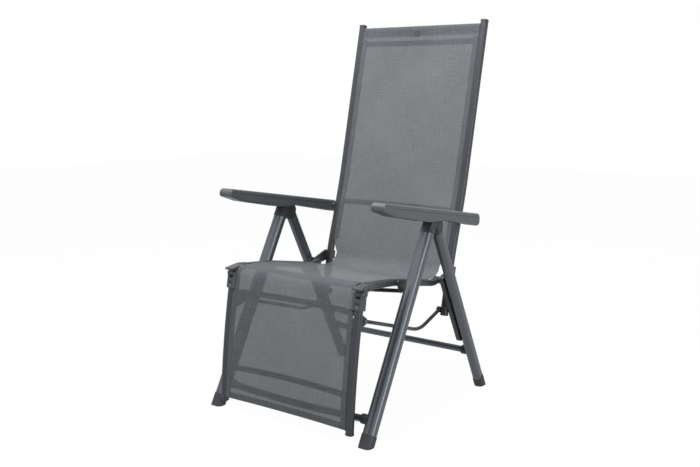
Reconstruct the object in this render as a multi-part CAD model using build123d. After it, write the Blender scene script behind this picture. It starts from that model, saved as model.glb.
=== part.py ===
from build123d import *
import os
from math import atan2, cos, degrees, hypot, radians, sin, tan

# Reclining garden armchair, folding. The sitter faces -y, z is the height above the floor,
# and x = 0 is the middle. Places in the side view are pairs of y and z.

# Stance and pivots, in the side view
front_foot_y = -348
front_top_y = -38.4
front_top_z = 568
rear_foot_y = 319
apex_y = 10
apex_z = 588
head_pin_y = -20
head_pin_z = 615
fold_pivot_z = 408
seat_pivot_y = 103
seat_pivot_z = 397
knee_y = -313
knee_z = 428
link_front_y = -281
link_front_z = 341
link_bend_y = 28
link_bend_z = 246
link_rear_y = 149
link_rear_z = 288
arm_pivot_y = 224
arm_pivot_z = 583

# Places across the chair, from the middle outwards
leg_x = 290
rail_x = 244
link_x = 225.6

# Clearances
play = 0.05
gap = 0.3
cut = 40
cut_block = 160

# How far the chair folds and reclines
leg_fold = 52
recline = 40
arm_turn_share = 0.575

# Front legs: rounded tubes with a shallow groove down the front
front_leg_width = 42
front_leg_depth = 30
front_leg_corner = 12.5
groove_width = 15
groove_depth = 1.3

# Rear legs: oval tubes
rear_leg_width = 28
rear_leg_depth = 36
rear_leg_corner = 12

# Feet: sleeves cut flat on the floor
foot_wall = 1.6
foot_sole = 5
foot_grip = 14

# Hinge at the apex and the fork on top of the front leg
boss_radius = 18.5
boss_width = 30
boss_neck = 27
boss_groove_radius = 14.5
boss_groove_width = 1.6
boss_groove_depth = 0.8
tongue_radius = 14
tongue_width = 10
tongue_root_radius = 8
tongue_root_y = -14
tongue_root_z = 599
hinge_pin_radius = 4
hinge_pin_length = 24
head_width = 32
head_shoulder = 16
head_top_radius = 8
head_pin_radius = 3.5
head_pin_length = 28
fork_slot = 10.6
fork_floor = 4.5

# Cross bars between the legs
leg_bar_radius = 10.5
leg_bar_socket = 7
bush_radius = 15
bush_length = 17
bush_lap = 17 / 3
front_bar_z = 65
front_bar_bow = 16
rear_bar_z = 137

# Slide rails on the rear legs and the shoes that run in them
slide_width = 22.4
slide_depth = 14
slide_back = 3
slide_inner_x = 260
slide_slot = 16.4
slide_offset = 7.9
slide_start = 195
slide_end = 460
slot_start = 202
slot_end = 456.5
pad_radius = 7
shoe_width = 13
shoe_length = 18
shoe_depth = 9.4

# Seat rails, their fittings and cross tubes
seat_rail_width = 20
seat_rail_depth = 20
seat_rail_corner = 6
rail_front_y = -281
rail_front_z = 444
rail_crest_y = -145
rail_crest_z = 432
rail_dip_y = 70
rail_dip_z = 392.5
rail_crest_bend = 600
rail_dip_bend = 80
rail_eye_radius = 11
bolt_radius = 4
bolt_start_x = 236
bolt_end_x = 269.5
bracket_depth = 5
bracket_corner = 8
bracket_reach = 17
bracket_set = 5
fold_pin_radius = 5
fold_pin_depth = 20
fold_spacer_radius = 10
seat_bar_radius = 8
front_seat_bar_y = -240
front_seat_bar_drop = 4
front_seat_bar_bow = 4
drop_bar_y = -20
drop_bar_radius = 6.5
drop_bar_set = 1.2
drop_shoulder_x = 209
drop_corner_x = 183
drop_corner = 33
drop_middle_x = 70
drop_middle = 44
drop_bend = 20
drop_sweep = 300

# Knee joint between seat and footrest
knuckle_width = 16
knuckle_radius = 11
sleeve_wall = 1.5
sleeve_length = 23
sleeve_lap = 2
hood_inner_x = 229
hood_outer_x = 259
hood_front_y = -334
hood_front_top_z = 447
hood_crest_y = -284
hood_crest_z = 453.6
hood_rear_y = -262
hood_rear_z = 452
hood_floor_z = 440.9
knee_pin_radius = 4
knob_radius = 10
knob_depth = 3.2
ear_radius = 10.5
ear_inner_x = 225
ear_outer_x = 258.6
fork_length = 31
collar_length = 16
collar_wall = 1.2

# Footrest
foot_tube_width = 24
foot_tube_depth = 20
foot_tube_corner = 8
foot_tube_mid_y = -348
foot_tube_mid_z = 205
foot_tube_end_y = -364
foot_tube_end_z = 34
foot_upper_bar_z = 372
foot_lower_bar_z = 137
foot_bar_radius = 9
foot_bar_bow = 20
cap_length = 6
cap_lip = 0.5
cap_edge = 2.5
ear_plate = 6
ear_plate_radius = 10
ear_root_radius = 6
ear_root_upper_z = 372
ear_root_lower_z = 326

# Link rods
link_radius = 5.75
link_eye_radius = 10
link_eye_width = 11.6
link_bend = 120
link_pin_head_radius = 7
link_pin_head = 2.6

# Back
back_tube_width = 24
back_tube_depth = 21
back_tube_corner = 8
back_low_y = 150
back_low_z = 276
back_knee_y = 181
back_knee_z = 436
back_waist_y = 252
back_waist_z = 668
back_top_y = 375.6
back_top_z = 1211
back_knee_bend = 900
back_waist_bend = 1500
back_bar_radius = 9.5
back_bar_bow = 22
back_lower_bar_z = 600
back_upper_bar_z = 1150
back_top_bar_z = 1196
clamp_low_z = 399
clamp_high_z = 428
clamp_wall = 3
clamp_outer_x = 259.4
clamp_eye_radius = 12

# Armrests
arm_width = 50
arm_rear_y = 246
arm_rear_top_z = 597.8
arm_rear_low_z = 556.5
arm_front_y = -299
arm_front_top_z = 689
arm_tip_z = 663
arm_chin_y = -240
arm_chin_z = 642
arm_waist_y = -60
arm_waist_z = 606
arm_belly_y = 30
arm_belly_z = 602
arm_end_bend = 15
arm_tip_bend = 9
arm_chin_bend = 100
arm_waist_bend = 200
arm_edge = 6
arm_seam = 13
arm_seam_turn_y = 150
arm_seam_foot_y = 184
arm_seam_bend = 45
arm_cap_length = 55
arm_roof = 3
channel_width = 38
channel_front_y = -234
channel_rear_y = 134
rib_width = 2.4
rib_height = 9
rib_shares = (0.25, 0.6)
rack_width = 8.6
rack_gap = 0.5
rack_overrun = 4
notch_play = 0.3
notch_lift = 2.8
notch_count = 8
arm_pin_radius = 5
arm_pin_start_x = 240
arm_pin_end_x = 300
arm_flange_radius = 9

# Cloth, and the cross tubes set back from it
bar_setback = 3.6
cloth_thickness = 1.6
cloth_lift = 9
cloth_sag = 7
cloth_lap = 1
seat_cloth_front_y = -256
seat_cloth_rear_y = 86
cloth_notch = 36
seat_cloth_tongue_y = -296
foot_cloth_notch_z = 378
foot_cloth_tongue_z = 408
foot_cloth_low_z = 42
back_cloth_low_z = 446
back_hem = 13
back_cloth_tongue_z = 424

front_foot = (front_foot_y, 0)
front_top = (front_top_y, front_top_z)
rear_foot = (rear_foot_y, 0)
apex = (apex_y, apex_z)
head_pin = (head_pin_y, head_pin_z)
seat_pivot = (seat_pivot_y, seat_pivot_z)
knee = (knee_y, knee_z)
link_front = (link_front_y, link_front_z)
link_corner = (link_bend_y, link_bend_z)
link_rear = (link_rear_y, link_rear_z)
arm_pivot = (arm_pivot_y, arm_pivot_z)
front_leg_length = hypot(front_top_y - front_foot_y, front_top_z)
rear_leg_length = hypot(rear_foot_y - apex_y, apex_z)
leg_inner_x = leg_x - front_leg_width / 2
rear_inner_x = leg_x - rear_leg_width / 2
fold_pivot_y = front_foot_y + (front_top_y - front_foot_y) * fold_pivot_z / front_top_z
fold_pivot = (fold_pivot_y, fold_pivot_z)
rail_inner_x = rail_x - seat_rail_width / 2
rail_outer_x = rail_x + seat_rail_width / 2
tube_inner_x = rail_x - back_tube_width / 2
tube_outer_x = rail_x + back_tube_width / 2
rail_points = [(rail_front_y, rail_front_z), (rail_crest_y, rail_crest_z), (rail_dip_y, rail_dip_z), seat_pivot]
back_points = [(back_low_y, back_low_z), (back_knee_y, back_knee_z), (back_waist_y, back_waist_z),
               (back_top_y, back_top_z)]
tongue_root = (tongue_root_y, tongue_root_z)
fork_floor_front = (head_pin_y - head_top_radius, head_pin_z - fork_floor)
fork_floor_rear = (apex_y, apex_z + tongue_radius)


def toward(start, end, distance, aside=0):
    """The point at a distance from start on the way to end, moved aside to the left of that line."""
    run = end[0] - start[0]
    rise = end[1] - start[1]
    reach = hypot(run, rise)
    y = start[0] + (run * distance - rise * aside) / reach
    z = start[1] + (rise * distance + run * aside) / reach
    return (y, z)


def between(start, end, z):
    """The point of the line from start to end that lies at a height."""
    share = (z - start[1]) / (end[1] - start[1])
    return (start[0] + (end[0] - start[0]) * share, z)


def under(start, end, y):
    """The height of the line from start to end at a depth y."""
    return start[1] + (end[1] - start[1]) * (y - start[0]) / (end[0] - start[0])


def slope(start, end):
    """The angle of the line from start to end, in degrees."""
    return degrees(atan2(end[1] - start[1], end[0] - start[0]))


def turned(point, centre, angle):
    """The point after a turn about a centre in the side view, from +y towards +z."""
    y = point[0] - centre[0]
    z = point[1] - centre[1]
    c = cos(radians(angle))
    s = sin(radians(angle))
    return (centre[0] + y * c - z * s, centre[1] + y * s + z * c)


def plate(outline, inner, outer):
    """An outline of the side view made into a solid from one distance off the middle to another."""
    return extrude(Plane.YZ.offset(inner) * outline, outer - inner, dir=(1, 0, 0))


def disc(centre, radius, inner, outer):
    """A round solid about a pivot of the side view."""
    return plate(Pos(centre[0], centre[1]) * Circle(radius), inner, outer)


def round_hull(*circles):
    """The outline stretched round circles, each a centre and a radius."""
    rims = [edge for centre, radius in circles for edge in (Pos(centre[0], centre[1]) * Circle(radius)).edges()]
    return make_hull(rims)


def strip(start, end, first, last, width, aside=0):
    """A rectangle along the line from start to end, between two distances from its start."""
    middle = toward(start, end, (first + last) / 2, aside)
    return Pos(middle[0], middle[1]) * Rot(0, 0, slope(start, end)) * Rectangle(last - first, width)


def square_to(start, end, distance, x):
    """A plane square to a line of the side view, with its own x axis across the chair."""
    y, z = toward(start, end, distance)
    return Plane(origin=(x, y, z), x_dir=(1, 0, 0), z_dir=(0, end[0] - start[0], end[1] - start[1]))


def straight(section, start, end, first, last, x):
    """A straight length of a section along a line of the side view."""
    return extrude(square_to(start, end, first, x) * section, last - first)


def along(section, path):
    """A section carried along a path that lies in a side plane."""
    return sweep(Plane(origin=path @ 0, x_dir=(1, 0, 0), z_dir=path % 0) * section, path)


def side_path(points, bends, x):
    """A line through points of the side view, each inner corner rounded by its own bend."""
    return Plane.YZ.offset(x) * FilletPolyline(*points, radius=bends)


def shifted(points, distance):
    """The points of a line moved aside to its left, square to its runs."""
    moved = [toward(points[0], points[1], 0, distance)]
    for before, corner, after in zip(points, points[1:], points[2:]):
        half = radians(slope(corner, after) - slope(before, corner)) / 2
        moved.append(toward(corner, after, -distance * tan(half), distance))
    moved.append(toward(points[-1], points[-2], 0, -distance))
    return moved


def cross_bar(radius, half_width, centre, bow_y, bow_z):
    """A round tube from side to side, its middle bowed from the line of its ends, cut square there."""
    y, z = centre
    reach = half_width + radius
    past = 1 - (reach / half_width) ** 2
    path = ThreePointArc((-reach, y + bow_y * past, z + bow_z * past), (0, y + bow_y, z + bow_z),
                         (reach, y + bow_y * past, z + bow_z * past))
    bar = sweep(Plane(origin=path @ 0, z_dir=path % 0) * Circle(radius), path)
    return bar & Pos(0, y, z) * Box(2 * half_width, cut_block, cut_block)


def sheet(line, width):
    """A sheet of cloth along a line of the side view, hanging a little in the middle of its width."""
    half = width / 2
    top = ThreePointArc((-half, 0), (0, -cloth_sag), (half, 0))
    low = ThreePointArc((half, -cloth_thickness), (0, -cloth_sag - cloth_thickness), (-half, -cloth_thickness))
    ends = Line((half, 0), (half, -cloth_thickness)) + Line((-half, -cloth_thickness), (-half, 0))
    section = make_face(top + low + ends)
    start = Plane(origin=line @ 0, x_dir=(-1, 0, 0), z_dir=line % 0)
    return sweep(start * section, line)


def notched(cloth, half_width, y, z, up):
    """A sheet at a depth y without its corners above or below a height z."""
    end = Align.MIN if up else Align.MAX
    corner = Box(2 * cloth_notch, cut_block, cut_block, align=(Align.CENTER, Align.CENTER, end))
    corner = Pos(half_width, y, z) * corner
    return cloth - corner - mirror(corner, about=Plane.YZ)


# Legs and feet

def front_leg():
    groove_radius = ((groove_width / 2) ** 2 / groove_depth + groove_depth) / 2
    section = RectangleRounded(front_leg_width, front_leg_depth, front_leg_corner)
    section -= Pos(0, groove_depth - front_leg_depth / 2 - groove_radius) * Circle(groove_radius)
    start = foot_sole + front_leg_depth / 2
    leg = straight(section, front_foot, front_top, start, front_leg_length, leg_x)
    fold_bore = disc(fold_pivot, fold_pin_radius + play, leg_x - front_leg_width, leg_inner_x + fold_pin_depth)
    return leg - fold_bore


def rear_leg():
    section = RectangleRounded(rear_leg_width, rear_leg_depth, rear_leg_corner)
    return straight(section, apex, rear_foot, boss_neck, rear_leg_length - foot_sole - rear_leg_depth / 2, leg_x)


def foot(tube, width, depth, corner, sole, top):
    """A sleeve round the lower end of a leg, flat where it stands."""
    outer = RectangleRounded(width + 2 * foot_wall, depth + 2 * foot_wall, corner + foot_wall)
    start = foot_sole + depth / 2
    sleeve = straight(outer, sole, top, -start, start + foot_grip, leg_x)
    return split(sleeve, bisect_by=Plane.XY, keep=Keep.TOP) - tube


# Hinge at the apex

def leg_head():
    """The moulded top of a front leg: a fork with the cross pin, and the hinge tongue behind it."""
    inner = leg_x - head_width / 2
    outer = leg_x + head_width / 2
    end = front_leg_length
    base = strip(front_foot, front_top, end, end + head_shoulder / 2, front_leg_depth)
    rims = base.edges() + (Pos(*head_pin) * Circle(head_top_radius)).edges()
    rims += (Pos(*apex) * Circle(tongue_radius)).edges()
    swing = strip(apex, turned(rear_foot, apex, -leg_fold), 0, 2 * boss_neck, rear_leg_depth + 2 * gap)
    cheeks = plate(make_hull(rims), inner, outer) - plate(swing, inner, outer)
    cheeks -= disc(apex, boss_radius + 2 * gap, inner, outer)
    floor_left = toward(fork_floor_front, fork_floor_rear, -cut)
    floor_right = toward(fork_floor_front, fork_floor_rear, 2 * cut)
    roof_left, roof_right = shifted([floor_left, floor_right], cut)
    slot = Polygon(floor_left, floor_right, roof_right, roof_left, align=None)
    cheeks -= plate(slot, leg_x - fork_slot / 2, leg_x + fork_slot / 2)
    outline = RectangleRounded(front_leg_width, front_leg_depth, front_leg_corner)
    waist = RectangleRounded(head_width, front_leg_depth, front_leg_corner)
    collar = loft([square_to(front_foot, front_top, end, leg_x) * outline,
                   square_to(front_foot, front_top, end + head_shoulder, leg_x) * waist])
    collar -= plate(swing, inner - cut, outer + cut)
    tongue = plate(round_hull((apex, tongue_radius), (tongue_root, tongue_root_radius)),
                   leg_x - tongue_width / 2, leg_x + tongue_width / 2)
    hinge_pin = disc(apex, hinge_pin_radius, leg_x - hinge_pin_length / 2, leg_x + hinge_pin_length / 2)
    cross_pin = disc(head_pin, head_pin_radius, leg_x - head_pin_length / 2, leg_x + head_pin_length / 2)
    return cheeks + collar + tongue + hinge_pin + cross_pin


def rear_boss():
    """The moulded top of a rear leg: two cheeks with a ring groove, which the tongue turns between."""
    inner = leg_x - boss_width / 2
    outer = leg_x + boss_width / 2
    neck = straight(RectangleRounded(rear_leg_width, rear_leg_depth, rear_leg_corner),
                    apex, rear_foot, 0, boss_neck, leg_x)
    boss = disc(apex, boss_radius, inner, outer) + neck
    slot = strip(apex, rear_foot, -2 * boss_radius, tongue_radius + 2 * gap, 2 * rear_leg_depth)
    boss -= plate(slot, leg_x - fork_slot / 2, leg_x + fork_slot / 2)
    bore_half = hinge_pin_length / 2 + play
    boss -= disc(apex, hinge_pin_radius + play, leg_x - bore_half, leg_x + bore_half)
    ring = Pos(*apex) * (Circle(boss_groove_radius + boss_groove_width) - Circle(boss_groove_radius))
    boss -= plate(ring, inner, inner + boss_groove_depth)
    return boss - plate(ring, outer - boss_groove_depth, outer)


# Cross bars between the legs

def leg_bush(centre, leg, leg_inner, bar):
    """A moulded bush that saddles a leg and holds the end of a cross bar."""
    return disc(centre, bush_radius, leg_inner - bush_length, leg_inner + bush_lap) - leg - bar


# Slide rails and shoes

def slide_rail():
    """A channel along the inner side of a rear leg, open towards the seat, with its stand-off pads."""
    outer_x = slide_inner_x + slide_depth
    rail = plate(slide_outline(slide_start, slide_end, slide_width), slide_inner_x, outer_x)
    rail -= plate(slide_outline(slot_start, slot_end, slide_slot), slide_inner_x, outer_x - slide_back)
    for distance in (slide_start + slide_width, (slide_start + slide_end) / 2, slide_end - slide_width):
        place = toward(apex, rear_foot, distance)
        rail += disc(place, pad_radius, outer_x, rear_inner_x)
    return rail


def slide_outline(first, last, width):
    """A round-ended strip along the rear leg, set forward of its middle."""
    middle = toward(apex, rear_foot, (first + last) / 2, -slide_offset)
    return Pos(*middle) * Rot(0, 0, slope(apex, rear_foot)) * SlotOverall(last - first, width)


def shoe():
    """The round-ended block on the seat pivot bolt that runs in the slide rail."""
    outline = Pos(*seat_pivot) * Rot(0, 0, slope(apex, rear_foot)) * SlotOverall(shoe_length, shoe_width)
    block = plate(outline, slide_inner_x + gap, slide_inner_x + gap + shoe_depth)
    return block - disc(seat_pivot, bolt_radius + play, slide_inner_x, slide_inner_x + slide_depth)


# Seat

def seat_rail():
    section = RectangleRounded(seat_rail_width, seat_rail_depth, seat_rail_corner)
    rail = along(section, side_path(rail_points, [rail_crest_bend, rail_dip_bend], rail_x))
    rail += disc(seat_pivot, rail_eye_radius, rail_inner_x, rail_outer_x)
    return rail - disc(seat_pivot, bolt_radius + play, bolt_start_x - play, tube_outer_x)


def pivot_bracket():
    """The plate under a seat rail with the bolt that the seat folds on."""
    rail_y = fold_pivot_y + bracket_set
    ends = (rail_y - bracket_reach, rail_y + bracket_reach)
    corners = [(y, under(rail_points[1], rail_points[2], y)) for y in ends]
    outline = round_hull((fold_pivot, fold_spacer_radius), *[(corner, bracket_corner) for corner in corners])
    bracket = plate(outline, rail_outer_x, rail_outer_x + bracket_depth)
    bracket += disc(fold_pivot, fold_spacer_radius, rail_outer_x, leg_inner_x - gap)
    return bracket + disc(fold_pivot, fold_pin_radius, rail_outer_x, leg_inner_x + fold_pin_depth - play)


def drop_bar():
    """The cross tube that dips below the sitter between its straight ends."""
    height = under(rail_points[1], rail_points[2], drop_bar_y) - drop_bar_set
    right = [(rail_inner_x, 0), (drop_shoulder_x, 0), (drop_corner_x, -drop_corner), (drop_middle_x, -drop_middle)]
    left = [(-x, z) for x, z in reversed(right)]
    bends = [drop_bend, drop_bend, drop_sweep]
    flat = FilletPolyline(*(right + left), radius=bends + bends[::-1])
    path = Plane(origin=(0, drop_bar_y, height), x_dir=(1, 0, 0), z_dir=(0, -1, 0)) * flat
    return sweep(Plane(origin=path @ 0, z_dir=path % 0) * Circle(drop_bar_radius), path)


def front_knuckle():
    """The fitting on the front end of a seat rail: sleeve, knee tongue and the hood over the knee."""
    start, onward = rail_points[:2]
    sleeve_outline = RectangleRounded(foot_tube_width, seat_rail_depth + 2 * sleeve_wall, seat_rail_corner)
    sleeve = straight(sleeve_outline, start, onward, -sleeve_lap, sleeve_length, rail_x)
    root = toward(start, onward, sleeve_lap)
    tongue = plate(round_hull((knee, knuckle_radius), (root, seat_rail_depth / 2)),
                   rail_x - knuckle_width / 2, rail_x + knuckle_width / 2)
    tongue -= disc(knee, knee_pin_radius + play, ear_inner_x, ear_outer_x)
    hood_points = [(hood_front_y, hood_floor_z), (hood_front_y, hood_front_top_z), (hood_crest_y, hood_crest_z),
                   (hood_rear_y, hood_rear_z), (hood_rear_y, hood_floor_z)]
    hood = plate(Polygon(*hood_points, align=None), hood_inner_x, hood_outer_x)
    rail = straight(RectangleRounded(seat_rail_width, seat_rail_depth, seat_rail_corner),
                    start, onward, 0, 2 * sleeve_length, rail_x)
    return (sleeve + tongue + hood) - rail


# Footrest

def foot_path():
    """The line of a footrest tube, slightly bowed forwards."""
    start = toward(knee, (foot_tube_mid_y, foot_tube_mid_z), fork_length + sleeve_lap)
    arc = ThreePointArc(start, (foot_tube_mid_y, foot_tube_mid_z), (foot_tube_end_y, foot_tube_end_z))
    return Plane.YZ.offset(rail_x) * arc


def foot_at(z):
    """The place on the line of the footrest tube at a height."""
    middle = (foot_tube_mid_y, foot_tube_mid_z)
    if z > foot_tube_mid_z:
        return between(knee, middle, z)
    return between(middle, (foot_tube_end_y, foot_tube_end_z), z)


def foot_tube():
    return along(RectangleRounded(foot_tube_width, foot_tube_depth, foot_tube_corner), foot_path())


def foot_fork():
    """The moulded top of a footrest tube: a collar and the two ears that hug the knee tongue."""
    middle = (foot_tube_mid_y, foot_tube_mid_z)
    depth = foot_tube_depth + 2 * collar_wall
    fork = plate(make_hull((Pos(*knee) * Circle(ear_radius)).edges()
                           + strip(knee, middle, fork_length, fork_length + collar_length, depth).edges()),
                 ear_inner_x, ear_outer_x)
    fork -= plate(strip(knee, middle, -cut, fork_length, 2 * cut),
                  rail_x - knuckle_width / 2 - gap, rail_x + knuckle_width / 2 + gap)
    return fork - disc(knee, knee_pin_radius + play, ear_inner_x + sleeve_wall, ear_outer_x) - foot_tube()


def link_ear():
    """The plate behind a footrest tube that carries the front end of a link rod."""
    upper = toward(foot_at(ear_root_upper_z), knee, 0, -ear_root_radius)
    lower = toward(foot_at(ear_root_lower_z), knee, 0, -ear_root_radius)
    outline = round_hull((link_front, ear_plate_radius), (upper, ear_root_radius), (lower, ear_root_radius))
    ear = plate(outline, tube_inner_x, tube_inner_x + ear_plate)
    return ear - foot_tube() - disc(link_front, knee_pin_radius + play, tube_inner_x, tube_outer_x)


def link_rod():
    """A bent rod with an eye at each end."""
    path = side_path([link_front, link_corner, link_rear], link_bend, link_x)
    rod = sweep(Plane(origin=path @ 0, z_dir=path % 0) * Circle(link_radius), path)
    inner = link_x - link_eye_width / 2
    outer = link_x + link_eye_width / 2
    for end in (link_front, link_rear):
        rod += disc(end, link_eye_radius, inner, outer)
    return rod - disc(link_front, knee_pin_radius + play, inner, outer)


def end_cap(width, depth, corner, place, outwards):
    """A push-in cap over the end of a tube, a little proud of it, its rim rounded."""
    outline = RectangleRounded(width + 2 * cap_lip, depth + 2 * cap_lip, corner + cap_lip)
    plane = Plane(origin=place, x_dir=(1, 0, 0), z_dir=outwards)
    cap = extrude(plane * outline, cap_length)
    rim = [edge for edge in cap.edges() if plane.to_local_coords(edge.center()).Z > cap_length - cap_lip]
    return fillet(rim, cap_edge)


# Back

def back_path():
    return side_path(back_points, [back_knee_bend, back_waist_bend], rail_x)


def back_tube():
    section = RectangleRounded(back_tube_width, back_tube_depth, back_tube_corner)
    tube = along(section, back_path())
    return tube - disc(arm_pivot, arm_pin_radius + play, arm_pin_start_x - play, tube_outer_x)


def back_bar_centre(height, first, second):
    """Where a cross tube of the back meets its tubes, a little behind their middle."""
    return toward(between(first, second, height), second, 0, -bar_setback)


def back_clamp():
    """The moulding round a back tube with the arm that reaches forward to the seat pivot."""
    low = between(back_points[0], back_points[1], clamp_low_z)
    high = between(back_points[0], back_points[1], clamp_high_z)
    saddle = strip(low, high, 0, hypot(high[0] - low[0], high[1] - low[1]), back_tube_depth + 2 * clamp_wall)
    block = plate(saddle, tube_inner_x, clamp_outer_x)
    reach = make_hull(saddle.edges() + (Pos(*seat_pivot) * Circle(clamp_eye_radius)).edges())
    arm = plate(reach, rail_outer_x + gap, clamp_outer_x)
    body = block + arm - disc(seat_pivot, bolt_radius + play, rail_inner_x, clamp_outer_x)
    return body - back_tube()


# Armrests

def seam_z(y):
    """The height of the seam between the two shells of an armrest."""
    return under((arm_rear_y, arm_rear_top_z), (arm_front_y, arm_front_top_z), y) - arm_seam


def whole_arm():
    """The closed outer form of an armrest, before it is divided."""
    points = [(arm_rear_y, arm_rear_low_z), (arm_rear_y, arm_rear_top_z), (arm_front_y, arm_front_top_z),
              (arm_front_y, arm_tip_z), (arm_chin_y, arm_chin_z), (arm_waist_y, arm_waist_z),
              (arm_belly_y, arm_belly_z)]
    bends = [arm_end_bend] * 3 + [arm_tip_bend, arm_chin_bend, arm_waist_bend, arm_waist_bend]
    outline = make_face(FilletPolyline(*points, radius=bends, close=True))
    body = plate(outline, leg_x - arm_width / 2, leg_x + arm_width / 2)
    flats = body.faces().sort_by(Axis.X)
    return fillet(flats[0].edges() + flats[-1].edges(), arm_edge)


def arm_regions():
    """What lies below the seam, and what lies in front of the end cap's joint."""
    far = arm_front_y - cut
    corner = (arm_seam_turn_y, seam_z(arm_seam_turn_y))
    low = arm_rear_low_z - cut
    below = Polygon((far, seam_z(far)), corner, (arm_seam_foot_y, low), (far, low), align=None)
    below = fillet(below.vertices().sort_by_distance((corner[0], corner[1], 0))[0], arm_seam_bend)
    top = (arm_front_y, arm_front_top_z)
    onward = (arm_rear_y, arm_rear_top_z)
    front = strip(top, onward, -cut, arm_cap_length, cut_block)
    side = (leg_x - arm_width, leg_x + arm_width)
    return plate(below, *side), plate(front, *side)


def pin_in_arm(turn):
    """Where the cross pin lies, as the armrest sees it, once the back is reclined by a turn."""
    return turned(turned(head_pin, seat_pivot, turn), arm_pivot, -arm_turn_share * turn)


def notch_rack():
    """The notched rib inside the tray: its tips follow the path of the cross pin."""
    rise = head_pin_radius + rack_gap
    turns = (-rack_overrun, recline / 2, recline + rack_overrun)
    low = [(y, z + rise) for y, z in map(pin_in_arm, turns)]
    roof = [(y, seam_z(y) - arm_roof / 2) for y in (low[2][0], low[0][0])]
    rib = make_face(ThreePointArc(*low) + Polyline(low[2], roof[0], roof[1], low[0]))
    for index in range(notch_count):
        y, z = pin_in_arm(recline * index / (notch_count - 1))
        rib -= Pos(y, z + notch_lift) * Circle(head_pin_radius + notch_play)
    return plate(rib, leg_x - rack_width / 2, leg_x + rack_width / 2)


def arm_tray(arm, below, front):
    """The lower shell: a channel open below, with stiffening ribs in front and the notched rib."""
    half = channel_width / 2
    low = arm_rear_low_z - cut
    roof = [(y, seam_z(y) - arm_roof) for y in (channel_rear_y, channel_front_y)]
    channel = Polygon((channel_front_y, low), (channel_rear_y, low), *roof, align=None)
    tray = (arm & below) - front - plate(channel, leg_x - half, leg_x + half)
    for share in rib_shares:
        y = channel_front_y + (pin_in_arm(recline)[0] - channel_front_y) * share
        rib = Pos(y, seam_z(y) - rib_height / 2 - arm_roof / 2) * Rectangle(rib_width, rib_height)
        tray += plate(rib, leg_x - half, leg_x + half)
    return tray + notch_rack()


def arm_pin():
    """The pin between a back tube and its armrest, with the flange that keeps them apart."""
    flange = disc(arm_pivot, arm_flange_radius, tube_outer_x + gap, leg_x - arm_width / 2 - gap)
    return flange + disc(arm_pivot, arm_pin_radius, arm_pin_start_x, arm_pin_end_x)


pieces = {}


def add_pair(name, solid):
    """A piece on the sitter's left, at +x, and its mirror image on the right."""
    pieces[name + "_left"] = solid
    pieces[name + "_right"] = mirror(solid, about=Plane.YZ)


def add_both(name, solid):
    """Two small pieces, one on each side, kept under one name."""
    pieces[name] = solid + mirror(solid, about=Plane.YZ)


left_front_leg = front_leg()
left_rear_leg = rear_leg()
add_pair("front_leg", left_front_leg)
front_size = (front_leg_width, front_leg_depth, front_leg_corner)
add_pair("front_foot", foot(left_front_leg, *front_size, front_foot, front_top))
add_pair("leg_head", leg_head())
add_pair("rear_leg", left_rear_leg)
rear_size = (rear_leg_width, rear_leg_depth, rear_leg_corner)
add_pair("rear_foot", foot(left_rear_leg, *rear_size, rear_foot, apex))
add_pair("rear_boss", rear_boss())

front_bar_centre = between(front_foot, front_top, front_bar_z)
rear_bar_centre = between(rear_foot, apex, rear_bar_z)
front_socket_x = leg_inner_x - bush_length + leg_bar_socket
rear_socket_x = rear_inner_x - bush_length + leg_bar_socket
front_crossbar = cross_bar(leg_bar_radius, front_socket_x, front_bar_centre, -front_bar_bow, 0)
rear_crossbar = disc(rear_bar_centre, leg_bar_radius, -rear_socket_x, rear_socket_x)
pieces["front_crossbar"] = front_crossbar
pieces["rear_crossbar"] = rear_crossbar
add_both("front_bushes", leg_bush(front_bar_centre, left_front_leg, leg_inner_x, front_crossbar))
add_both("rear_bushes", leg_bush(rear_bar_centre, left_rear_leg, rear_inner_x, rear_crossbar))

add_pair("slide_rail", slide_rail())
add_pair("slide_shoe", shoe())

add_pair("seat_rail", seat_rail())
add_pair("pivot_bracket", pivot_bracket())
pieces["seat_drop_bar"] = drop_bar()
front_bar_height = under(rail_points[0], rail_points[1], front_seat_bar_y) - front_seat_bar_drop
seat_bar_centre = (front_seat_bar_y, front_bar_height)
pieces["seat_front_bar"] = cross_bar(seat_bar_radius, rail_inner_x, seat_bar_centre, 0, -front_seat_bar_bow)
add_pair("front_knuckle", front_knuckle())

add_both("seat_bolts", disc(seat_pivot, bolt_radius, bolt_start_x, bolt_end_x))
add_both("knee_pins", disc(knee, knee_pin_radius, ear_inner_x + 2 * sleeve_wall, ear_outer_x + knob_depth)
         + disc(knee, knob_radius, ear_outer_x + gap, ear_outer_x + knob_depth))
link_pin_end = tube_inner_x + ear_plate + gap + link_pin_head
add_both("link_pins", disc(link_front, knee_pin_radius, link_x - link_eye_width / 2, link_pin_end)
         + disc(link_front, link_pin_head_radius, link_pin_end - link_pin_head, link_pin_end))
add_both("arm_pins", arm_pin())

add_pair("foot_tube", foot_tube())
add_pair("foot_fork", foot_fork())
add_both("link_ears", link_ear())
add_pair("link_rod", link_rod())
foot_line = foot_path()
add_both("foot_caps", end_cap(foot_tube_width, foot_tube_depth, foot_tube_corner, foot_line @ 1, foot_line % 1))
foot_upper_centre = toward(foot_at(foot_upper_bar_z), knee, 0, -bar_setback)
foot_lower_centre = toward(foot_at(foot_lower_bar_z), knee, 0, -bar_setback)
pieces["foot_upper_bar"] = cross_bar(foot_bar_radius, tube_inner_x, foot_upper_centre, foot_bar_bow, 0)
pieces["foot_lower_bar"] = cross_bar(foot_bar_radius, tube_inner_x, foot_lower_centre, foot_bar_bow, 0)

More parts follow.
